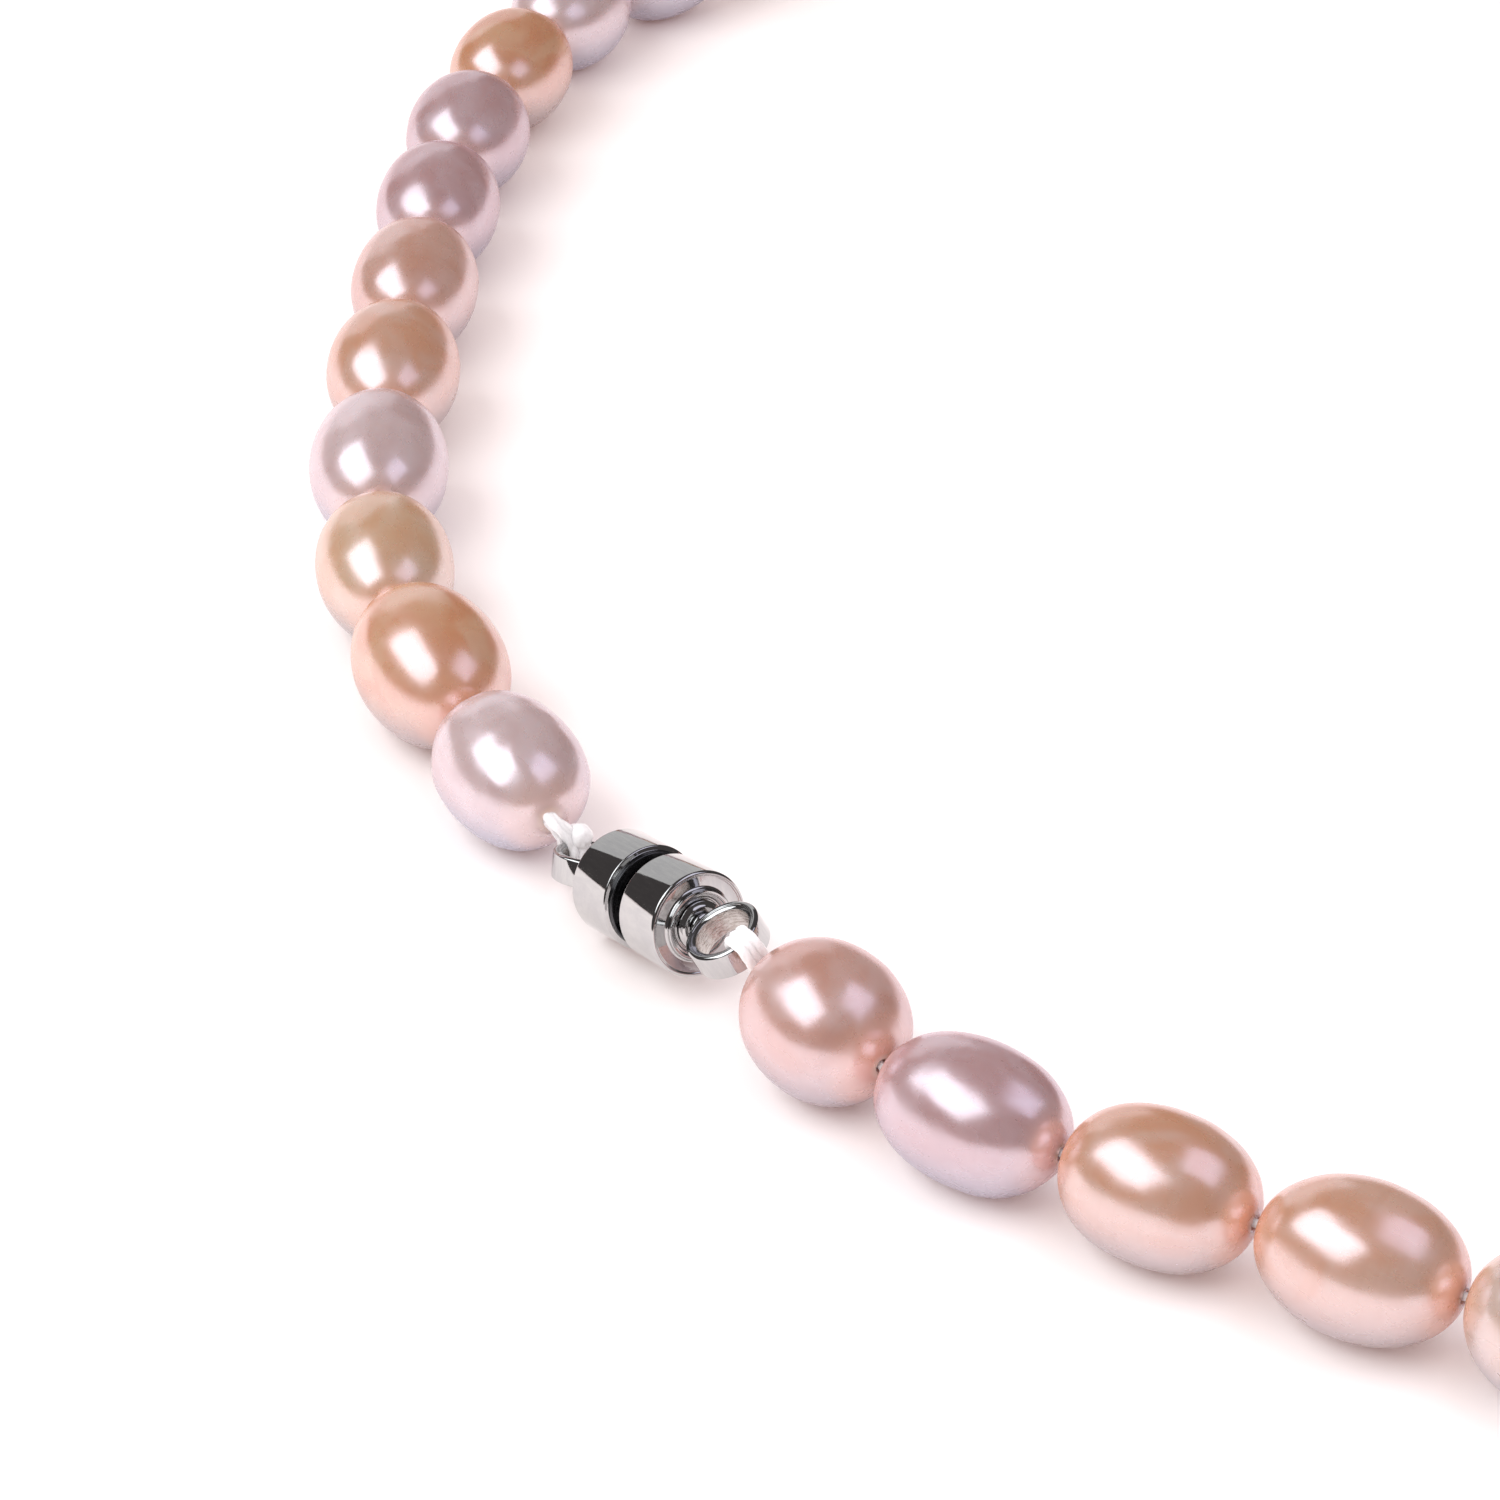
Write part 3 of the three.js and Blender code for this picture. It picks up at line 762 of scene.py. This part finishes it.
def make_knot(centre, side):
    """A small glued knot: a lumpy ball with the wraps of its thread showing."""
    sides, rings = 40, 24
    vertices = []
    for ring in range(rings + 1):
        polar = math.pi * (0.02 + 0.96 * ring / rings)
        for step in range(sides):
            angle = 2 * math.pi * step / sides
            sideways = Vector((0, math.cos(angle), math.sin(angle)))
            out = Vector((math.cos(polar), 0, 0)) + sideways * math.sin(polar)
            wraps = 0.05 * abs(math.sin(2.5 * (out.x * 1.7 + out.y * 1.1 + 0.4 * angle)))
            swell = 0.1 * noise.noise(out * 1.3)
            vertices.append(out * KNOT_RADIUS * (0.95 + wraps + swell))
    faces = ring_faces(rings + 1, sides) + end_caps(len(vertices), sides)
    place = Matrix.Translation(centre)
    piece = new_object(f"silk_knot_{side}", vertices, faces, [GLAZED_SILK], place)
    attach(piece, f"eye_{side}")


# ---- floor, light and camera ----------------------------------------------------------------

def make_floor():
    """A white floor that glows very faintly, so that its shadows stay pale and warm."""
    half = 4.0
    corners = [(-half, -half, 0), (half, -half, 0), (half, half, 0), (-half, half, 0)]
    nodes = Nodes("studio_floor")
    grain = nodes.noise(nodes.scaled((40, 40, 40)), 1.0)
    tone = nodes.mix(nodes.span(grain, 0.3, 0.7), (0.90, 0.90, 0.90), (0.93, 0.93, 0.93))
    nodes.link(tone, nodes.shader.inputs["Base Color"])
    nodes.set(Roughness=0.9, Specular_IOR_Level=0.1)
    nodes.set(Emission_Color=(0.07, 0.02, 0.01, 1.0), Emission_Strength=1.0)
    floor = new_object("studio_floor", corners, [(0, 1, 2, 3)], [nodes.material])


def add_light(name, place, aim, width, height, power, colour=(1, 1, 1)):
    """An area light at a place; aim points from what it lights back towards the lamp."""
    data = bpy.data.lights.new(name, "AREA")
    data.shape = "RECTANGLE"
    data.size, data.size_y = width, height
    data.energy = power
    data.color = colour
    light = bpy.data.objects.new(name, data)
    bpy.context.scene.collection.objects.link(light)
    light.location = place
    light.rotation_euler = Vector(aim).to_track_quat("Z", "Y").to_euler()
    light.visible_camera = False


def make_lights(centre):
    """Places are metres from the clasp: a key beside it, a small near fill, and a card behind."""
    key = Vector((-0.07, -0.215, 0.27))
    add_light("key_softbox", centre + key, key, 0.42, 0.26, 0.88, (0.97, 1.0, 1.02))
    fill = Vector((0.07, 0.057, 0.12))
    add_light("fill_softbox", centre + fill, fill, 0.11, 0.09, 0.036, (0.86, 0.84, 1.0))
    card = Vector((-1.0, 0.36, 0.30))
    add_light("backdrop_card", centre + card, (-1, 0, 0), 0.9, 0.62, 1.1)


def make_world():
    """Pale for the camera and for soft light, dark grey where glossy surfaces mirror it."""
    world = bpy.data.worlds.new("studio")
    bpy.context.scene.world = world
    world.use_nodes = True
    tree = world.node_tree
    background = tree.nodes["Background"]
    path = tree.nodes.new("ShaderNodeLightPath")
    mix = tree.nodes.new("ShaderNodeMix")
    mix.data_type = "RGBA"
    sockets = [s for s in mix.inputs if s.enabled]
    tree.links.new(path.outputs["Is Glossy Ray"], sockets[0])
    sockets[1].default_value = (0.98, 0.90, 0.885, 1.0)
    sockets[2].default_value = (0.08, 0.072, 0.072, 1.0)
    tree.links.new([s for s in mix.outputs if s.enabled][0], background.inputs["Color"])
    background.inputs["Strength"].default_value = 1.0


def make_camera():
    data = bpy.data.cameras.new("camera")
    data.lens = CAMERA_LENS
    data.sensor_width = 36.0
    data.clip_start, data.clip_end = 0.01, 20.0
    camera = bpy.data.objects.new("camera", data)
    bpy.context.scene.collection.objects.link(camera)
    heading, pitch = math.radians(CAMERA_HEADING), math.radians(CAMERA_PITCH)
    level = math.cos(pitch)
    look = Vector((level * math.cos(heading), level * math.sin(heading), math.sin(pitch)))
    camera.location = CLASP.centre + CAMERA_FROM_CLASP
    camera.rotation_euler = look.to_track_quat("-Z", "Y").to_euler()
    bpy.context.scene.camera = camera


# ---- put it together ------------------------------------------------------------------------

make_camera()
make_floor()
make_world()
make_lights(CLASP.centre)
bpy.context.scene.view_settings.view_transform = "Standard"

for index, pearl in enumerate([CENTRE, *LEFT, *RIGHT]):
    make_pearl(pearl, index)

row = [*LEFT, CENTRE, *reversed(RIGHT)]
for index, (first, second) in enumerate(zip(row, row[1:])):
    strand_piece(first, second, index + 1)

for side, end_pearl in (("left", LEFT[0]), ("right", RIGHT[0])):
    half_body = f"clasp_half_{side}"
    finish_clasp(make_shell(side), f"clasp_shell_{side}", half_body)
    finish_clasp(make_magnet(side), f"clasp_magnet_{side}", half_body)
    finish_clasp(make_washer(side), f"clasp_washer_{side}", half_body)
    finish_clasp(make_eye(side), f"clasp_eye_{side}", f"eye_{side}")
    make_loops(side, end_pearl)
